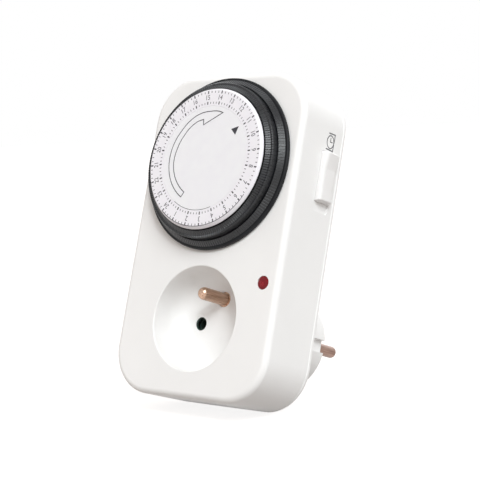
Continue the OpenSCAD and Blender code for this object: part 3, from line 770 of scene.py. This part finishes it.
def make_number_ring():
    """The white ring of hours, with a bevelled outer edge."""
    bevel_w, bevel_h = 0.8, 1.0
    inner = PLATE_R + FIT
    profile = rounded([
        (inner, FACE, 0.04), (RING_R - bevel_w, FACE, 0.1), (RING_R, FACE + bevel_h, 0.15),
        (RING_R, RING_BACK, 0), (inner, RING_BACK, 0)], 3)
    ring = revolve("hour_ring", profile, (0, DIAL_Z), FINISHES["ring_white"], 256)
    smooth(ring)
    return place(ring, "dial", "ring_white", "number_ring")


def make_centre_plate():
    """The fixed centre plate, with its spigot behind."""
    back = RING_BACK - GAP
    spigot_r, spigot_end = 1.5, back + 2
    profile = rounded([(0, FACE, 0), (PLATE_R, FACE, 0.04), (PLATE_R, back, 0), (spigot_r, back, 0),
                       (spigot_r, spigot_end, 0), (0, spigot_end, 0)], 3)
    plate = revolve("centre_disc", profile, (0, DIAL_Z), FINISHES["plate_white"], 256)
    smooth(plate)
    return place(plate, "housing", "plate_white", "centre_plate")


# Printing -----------------------------------------------------------------------------

def letter_mesh(words):
    """Plain flat characters as a mesh."""
    curve = bpy.data.curves.new("words", "FONT")
    curve.body = words
    curve.resolution_u = 3
    letters = bpy.data.objects.new("words", curve)
    bpy.context.collection.objects.link(letters)
    graph = bpy.context.evaluated_depsgraph_get()
    mesh = bpy.data.meshes.new_from_object(letters.evaluated_get(graph))
    bpy.data.objects.remove(letters)
    return mesh


def open_edges(mesh):
    """The edges with one face only, each as its two vertices in that face's order."""
    made = bmesh.new()
    made.from_mesh(mesh)
    edges = [[loop.vert.index for loop in edge.link_loops[0].face.loops if loop.vert in edge.verts]
             for edge in made.edges if len(edge.link_faces) == 1]
    made.free()
    return edges


class Print:
    """Thin ink on a flat face. where(u, v, height) gives a point over the face in metres."""

    def __init__(self, where, thickness=0.02):
        self.where = where
        self.thickness = thickness
        self.vertices = []
        self.faces = []

    def slab(self, rows):
        """A closed strip between two rows of points of the face."""
        first = len(self.vertices)
        for left, right in rows:
            for (u, v), height in ((left, -self.thickness), (left, self.thickness),
                                   (right, self.thickness), (right, -self.thickness)):
                self.vertices.append(self.where(u, v, height))
        last = first + 4 * (len(rows) - 1)
        for start in range(first, last, 4):
            for side in range(4):
                beyond = (side + 1) % 4
                self.faces.append([start + side, start + beyond, start + 4 + beyond, start + 4 + side])
        self.faces += [[first + side for side in range(4)], [last + side for side in range(4)]]

    def ribbon(self, points, width):
        """A line of even width along the points, with its corners mitred."""
        sharpest = 0.4  # the least cosine that a mitre is drawn for in full
        rows = []
        for i, (u, v) in enumerate(points):
            here = Vector((u, v))
            before = (here - Vector(points[i - 1])).normalized() if i else None
            after = (Vector(points[i + 1]) - here).normalized() if i + 1 < len(points) else None
            before, after = before or after, after or before
            along = (before + after).normalized()
            across = Vector((-along.y, along.x))
            reach = width / 2 / max(sharpest, across.dot(Vector((-before.y, before.x))))
            rows.append((tuple(here + across * reach), tuple(here - across * reach)))
        self.slab(rows)

    def bar(self, centre, radius, angle, length, width):
        """A short mark along the radius."""
        turn = math.radians(angle)
        out = Vector((math.cos(turn), math.sin(turn)))
        across = Vector((-out.y, out.x)) * width / 2
        ends = [Vector(centre) + out * (radius + side * length / 2) for side in (-1, 1)]
        self.slab([(tuple(end + across), tuple(end - across)) for end in ends])

    def text(self, words, centre, turn, height, narrow=0.86):
        """Plain characters of a given height, centred and turned."""
        mesh = letter_mesh(words)
        flat = [vertex.co.to_2d() for vertex in mesh.vertices]
        low = Vector((min(at.x for at in flat), min(at.y for at in flat)))
        high = Vector((max(at.x for at in flat), max(at.y for at in flat)))
        scale = height / (high.y - low.y)
        spin = Matrix.Rotation(math.radians(turn), 2)
        placed = []
        for at in flat:
            offset = (at - (low + high) / 2) * scale
            offset.x *= narrow
            placed.append(Vector(centre) + spin @ offset)
        first, count = len(self.vertices), len(placed)
        for level in (self.thickness, -self.thickness):
            self.vertices += [self.where(at.x, at.y, level) for at in placed]
        for face in mesh.polygons:
            self.faces.append([first + index for index in face.vertices])
            self.faces.append([first + count + index for index in face.vertices])
        for start, end in open_edges(mesh):
            self.faces.append([first + start, first + end, first + count + end, first + count + start])

    def piece(self, name, material):
        """All the ink so far as one object."""
        return new_piece(name, self.vertices, self.faces, material)


def on_dial(u, v, height):
    """A point over the dial's face, with u and v from its centre."""
    return point(u, FACE - height, DIAL_Z + v)


def on_side(depth, z, height):
    """A point over the housing's right side."""
    return point(SIDE_X + height, depth, z)


def make_hour_print():
    """The hours on the ring, a mark for each quarter inside and outside them, and a dark line along the
    lower part of the ring's edge that is painted shade.
    """
    mark_radii, hour_mark, quarter_mark = (21.3, 25.6), (1.15, 0.5), (0.75, 0.24)
    figure_radius, figure_height = 23.55, 1.9
    shade_line_radius, shade_line_width = 26.15, 0.24
    ink = Print(on_dial)
    for mark in range(TAPPETS):
        length, width = quarter_mark if mark % TAPPETS_PER_HOUR else hour_mark
        for radius in mark_radii:
            ink.bar((0, 0), radius, REST_ANGLE + mark * PITCH, length, width)
    for hour in range(1, HOURS + 1):
        angle = REST_ANGLE + hour * TAPPETS_PER_HOUR * PITCH
        ink.text(str(hour), polar(figure_radius, angle), angle - 90, figure_height)
    place(ink.piece("hour_figures", INK), "dial", "dial_black")
    # The dark arc along the ring's lower edge is painted shade, not print: it runs only where the edge
    # lies in shadow.
    edge = Print(on_dial)
    edge.ribbon([polar(shade_line_radius, angle) for angle in range(-128, -30, 2)], shade_line_width)
    return place(edge.piece("hour_edge_painted_shade", INK), "dial", "dial_black")


def sweep(stations, step=3.0):
    """Points along a curve given in polar form, going straight between (radius, angle) stations."""
    points = []
    for (radius, angle), (next_radius, next_angle) in zip(stations, stations[1:]):
        count = max(1, round(abs(next_angle - angle) / step))
        for part in range(count):
            share = part / count
            points.append(polar(radius + (next_radius - radius) * share,
                                angle + (next_angle - angle) * share))
    points.append(polar(*stations[-1]))
    return points


def make_centre_print():
    """The arrow that shows which way the dial turns, a dark arc painted as shade along the lower edge of
    the centre plate, and the mark that tells the time.
    """
    outer = [(17.1, 241.9), (17.0, 226), (17.0, 141), (17.8, 114),
             (18.0, 102), (18.0, 90), (18.3, 77), (18.2, 71.4)]
    inner = [(15.2, 101.8), (15.3, 112), (15.0, 126), (14.5, 142),
             (14.4, 165), (14.7, 187), (14.7, 226), (14.9, 242.4)]
    barb = polar(13.1, 102.2)
    arrow_line, plate_shade_width = 0.34, 0.16
    path = sweep(outer) + [barb] + sweep(inner)
    path += path[:2]
    arrow = Print(on_dial)
    arrow.ribbon(path, arrow_line)
    # A dark arc along the lower part of the centre plate's edge: painted shade where the edge is in
    # shadow.
    arrow.ribbon([polar(PLATE_R - 0.1, angle) for angle in range(-123, -68, 2)], plate_shade_width)
    place(arrow.piece("arrow", INK), "housing", "dial_black")
    pointer = Print(on_dial)
    tip = (polar(18.7, 39.05), polar(18.7, 38.95))
    root = (polar(15.5, 44.0), polar(15.9, 32.3))
    pointer.slab([tip, root])
    return place(pointer.piece("pointer", INK), "housing", "dial_black")


def make_side_print():
    """A small clock face in a frame above the mode switch."""
    ink = Print(on_side)
    frame_line, rim_line, hand_line = 0.48, 0.42, 0.4
    y, z = 17.9, 71.9
    half_w, half_h = 2.1, 1.15 * 2.1
    ink.ribbon([(16.4, 75.0), (20.3, 75.2), (20.15, 72.0)], frame_line)
    ink.ribbon([(20.15, 71.6), (20.0, 68.8), (15.6, 68.9)], frame_line)
    turns = [math.radians(12 * step) for step in range(32)]
    ink.ribbon([(y + half_w * math.cos(turn), z + half_h * math.sin(turn)) for turn in turns], rim_line)
    ink.ribbon([(y, z + 1.7), (y, z), (y + 1.3, z + 0.1)], hand_line)
    return place(ink.piece("mode_picture", FAINT_INK), "housing", "dial_black")


# Small pieces -------------------------------------------------------------------------

def make_thumb_piece():
    """The mode switch's thumb piece, flat below and dished up to a raised upper end."""
    base = SIDE_X - POCKET_D + GAP / 3
    flat, end, draft = SIDE_X + THUMB_END_H, -THUMB_L / 2, 0.4
    dish = flat - 0.2
    side_view = rounded([
        (base, end, 0), (flat, end + draft, 0.6), (dish, end + 5, 5), (dish, THUMB_TOP - 6.5, 5),
        (THUMB_PEAK, THUMB_TOP - draft, 0.4), (base, THUMB_TOP, 0)], 6)
    # the share of its height that the piece has at a distance in from each long side
    shoulder = [(0.0, 0.62), (0.35, 0.8), (0.8, 0.92), (1.5, 1.0)]
    half = THUMB_W / 2
    stations = [(inset - half, share) for inset, share in shoulder]
    stations += [(half - inset, share) for inset, share in reversed(shoulder)]
    rings = [[point(base + (x - base) * share, THUMB_Y + across, THUMB_Z + z) for x, z in side_view]
             for across, share in stations]
    knob = loft("thumb_piece", rings, FINISHES["knob_white"])
    soften(knob, 0.3, 3, 50)
    smooth(knob, 40)
    return place(knob, "mode_slide", "knob_white", "mode_knob")


def make_lens():
    """The lamp's lens: a low dome in the shell's hole, with a rim behind the shell."""
    edge, crown, back = 0.45, 0.4, WALL + 1
    profile = [(LAMP_R * sine, edge - crown * cosine) for sine, cosine in quarter_turn(10)]
    profile += [(LAMP_R, WALL), (LENS_RIM_R, WALL), (LENS_RIM_R, back), (0, back)]
    lens = revolve("lamp_window", profile, (LAMP_X, LAMP_Z), FINISHES["lens_red"], 64)
    smooth(lens, 50)
    return place(lens, "housing", "lens_red", "lamp_lens")


def make_earth_pin():
    """The socket's earth pin, with a round tip and a collar in the recess floor."""
    low, high = box_mm("earth_pin")
    tip, back = low.y - FRONT, high.y - FRONT
    shoulder = RECESS_D + 0.1
    profile = rounded([
        (0, tip, 0), (PIN_R, tip, PIN_R - 0.05), (PIN_R, shoulder, 0), (COLLAR_R, shoulder, 0.3),
        (COLLAR_R, back, 0), (0, back, 0)], 10)
    # Its copper is painted lighter to make up for the recess's shade.
    pin = revolve("earth_contact", profile, (0, EARTH_Z), EARTH_PIN_LIT_COPPER, 64)
    smooth(pin)
    return place(pin, "housing", "pin_copper", "earth_pin")


def make_sleeve_mouths():
    """Rings of the live and neutral sleeves just inside the holes of the socket, painted near black as
    the shade deep in the holes.
    """
    front, back = RECESS_D + 0.25, CUP_D + 0.1
    inside, outside = HOLE_R - 0.2, HOLE_R - 0.03
    profile = [(inside, front), (outside, front), (outside, back), (inside, back)]
    mouths = gather("sleeve_mouths", [revolve("mouth", profile, (x, 0), SLEEVE_SHADE_BRASS, 64)
                                      for x in (-POLE_X, POLE_X)])
    smooth(mouths)
    return place(mouths, "housing", "brass")


def make_plug_pins():
    """The two round plug pins, each with a collar that stands a little out of the plug's end."""
    shoulder = NOSE_END + 0.4
    for node, x in (("plug_pin_live", -POLE_X), ("plug_pin_neutral", POLE_X)):
        low, high = box_mm(node)
        root, tip = low.y - FRONT, high.y - FRONT
        profile = rounded([
            (0, root, 0), (COLLAR_R, root, 0), (COLLAR_R, shoulder, 0.2), (PIN_R, shoulder, 0),
            (PIN_R, tip, 1.9), (0, tip, 0)], 10)
        pin = revolve(node.replace("plug_pin", "blade"), profile, (x, 0), FINISHES["pin_copper"], 64)
        smooth(pin)
        place(pin, "housing", "pin_copper", node)


def make_clips():
    """The two earth clips on the plug's body."""
    for node in ("earth_clip_top", "earth_clip_bottom"):
        clip = softened_copy(node.replace("earth_clip", "side_contact"), node, FINISHES["brass"], 0.12)
        place(clip, "housing", "brass", node)


# Camera, light and floor --------------------------------------------------------------

# The aim is the point of the front face in the middle of the picture, AIM_UP from the underside
AZIMUTH = 39.9199
ELEVATION = -8.8518
ROLL = 9.214
DISTANCE = 492.6505
AIM_X = 16.1299
AIM_UP = 59.7863
FOCAL_PIXELS = 1345.1401
IMAGE_SIZE = 480
SENSOR = 36.0


def make_camera():
    """The camera as it was fitted to the photograph."""
    azimuth, elevation, roll = (math.radians(turn) for turn in (AZIMUTH, ELEVATION, ROLL))
    level = Vector((math.sin(azimuth), -math.cos(azimuth), 0))
    back = level * math.cos(elevation) + Vector((0, 0, math.sin(elevation)))
    right = (-back).cross(Vector((0, 0, 1))).normalized()
    up = back.cross(right)
    rolled_right = right * math.cos(roll) + up * math.sin(roll)
    rolled_up = up * math.cos(roll) - right * math.sin(roll)
    camera = bpy.data.objects.new("camera", bpy.data.cameras.new("camera"))
    camera.data.sensor_width = SENSOR
    camera.data.lens = SENSOR * FOCAL_PIXELS / IMAGE_SIZE
    camera.data.clip_start = 0.01
    axes = Matrix((rolled_right, rolled_up, back)).transposed().to_4x4()
    stand = point(AIM_X, 0, FLOOR_Z + AIM_UP) + back * DISTANCE * MM
    camera.matrix_world = Matrix.Translation(stand) @ axes
    bpy.context.collection.objects.link(camera)
    bpy.context.scene.camera = camera


def light_path(tree, *rays):
    """1 for any of the named kinds of ray."""
    path = add_node(tree, "ShaderNodeLightPath")
    total = path.outputs[rays[0]]
    for ray in rays[1:]:
        terms = {0: total, 1: path.outputs[ray]}
        total = add_node(tree, "ShaderNodeMath", terms, operation="MAXIMUM").outputs[0]
    return total


def make_world():
    """A soft warm light from all round, which the camera and reflections see as plain white."""
    strength = 0.52
    world = bpy.data.worlds.new("studio")
    bpy.context.scene.world = world
    world.use_nodes = True
    tree = world.node_tree
    tree.nodes.clear()
    soft = add_node(tree, "ShaderNodeBackground",
                    {"Color": (1.0, 0.905, 0.85, 1), "Strength": strength})
    white = add_node(tree, "ShaderNodeBackground", {"Color": (1, 1, 1, 1), "Strength": 1.0})
    seen = light_path(tree, "Is Camera Ray", "Is Glossy Ray", "Is Transmission Ray")
    mix = add_node(tree, "ShaderNodeMixShader", {0: seen, 1: soft.outputs[0], 2: white.outputs[0]})
    output = add_node(tree, "ShaderNodeOutputWorld")
    tree.links.new(mix.outputs[0], output.inputs["Surface"])


def make_sun(name, towards, strength, softness, colour):
    """A soft distant light from the direction towards which it is seen."""
    lamp = bpy.data.lights.new(name, "SUN")
    lamp.energy = strength
    lamp.angle = math.radians(softness)
    lamp.color = colour
    sun = bpy.data.objects.new(name, lamp)
    sun.rotation_euler = Vector(towards).to_track_quat("Z", "Y").to_euler()
    bpy.context.collection.objects.link(sun)


def floor_paper():
    """Grey to the lights, near white to the camera and in reflections, and clear from below."""
    whiteness = 0.85
    material = bpy.data.materials.new("floor")
    material.use_nodes = True
    tree = material.node_tree
    tree.nodes.clear()
    where = add_node(tree, "ShaderNodeTexCoord").outputs["Object"]
    colour = ramp(tree, noise(tree, where, 30.0), (0.35, 0.325, 0.31), (0.37, 0.345, 0.33))
    diffuse = add_node(tree, "ShaderNodeBsdfDiffuse", {"Color": colour})
    terms = {0: light_path(tree, "Is Camera Ray", "Is Glossy Ray"), 1: whiteness}
    seen = add_node(tree, "ShaderNodeMath", terms, operation="MULTIPLY").outputs[0]
    glow = add_node(tree, "ShaderNodeEmission", {"Strength": seen})
    paper = add_node(tree, "ShaderNodeAddShader", {0: diffuse.outputs[0], 1: glow.outputs[0]})
    clear = add_node(tree, "ShaderNodeBsdfTransparent")
    behind = add_node(tree, "ShaderNodeNewGeometry").outputs["Backfacing"]
    mix = add_node(tree, "ShaderNodeMixShader", {0: behind, 1: paper.outputs[0], 2: clear.outputs[0]})
    output = add_node(tree, "ShaderNodeOutputMaterial")
    tree.links.new(mix.outputs[0], output.inputs["Surface"])
    return material


def make_floor():
    """The table that the object leans back on, on its lower back edge and the plug's lower edge."""
    radius_m = 4.0
    heel_z = 0.25 - NOSE_R
    slope = math.atan2(heel_z - FLOOR_Z, NOSE_END - BODY_D)
    mesh = bpy.data.meshes.new("floor")
    made = bmesh.new()
    bmesh.ops.create_circle(made, cap_ends=True, segments=96, radius=radius_m)
    made.to_mesh(mesh)
    made.free()
    mesh.materials.append(floor_paper())
    floor = bpy.data.objects.new("floor", mesh)
    floor.matrix_world = Matrix.Translation(point(0, BODY_D, FLOOR_Z)) @ Matrix.Rotation(slope, 4, "X")
    bpy.context.collection.objects.link(floor)
    floor.visible_shadow = False


make_camera()
make_world()
# name, direction, strength, softness in degrees and colour
make_sun("key", (0.56, -0.64, 0.52), 1.85, 32, (0.93, 0.98, 1.0))
make_sun("glint", (0.572, -0.711, 0.411), 0.6, 10, (0.95, 0.985, 1.0))
make_sun("low_fill", (-0.20, -0.83, -0.52), 0.28, 70, (1.0, 0.90, 0.83))
make_sun("side", (0.95, 0.15, 0.25), 0.28, 60, (0.72, 0.90, 1.0))
make_sun("back", (-0.30, 0.60, 0.74), 0.85, 60, (0.95, 0.98, 1.0))
make_floor()

finish_solids()
make_housing_front()
make_housing_back()
make_rear_screws()
make_drum()
make_tappets()
make_number_ring()
make_centre_plate()
make_hour_print()
make_centre_print()
make_side_print()
make_thumb_piece()
make_lens()
make_earth_pin()
make_sleeve_mouths()
make_plug_pins()
make_clips()

bpy.context.scene.view_settings.view_transform = "Standard"
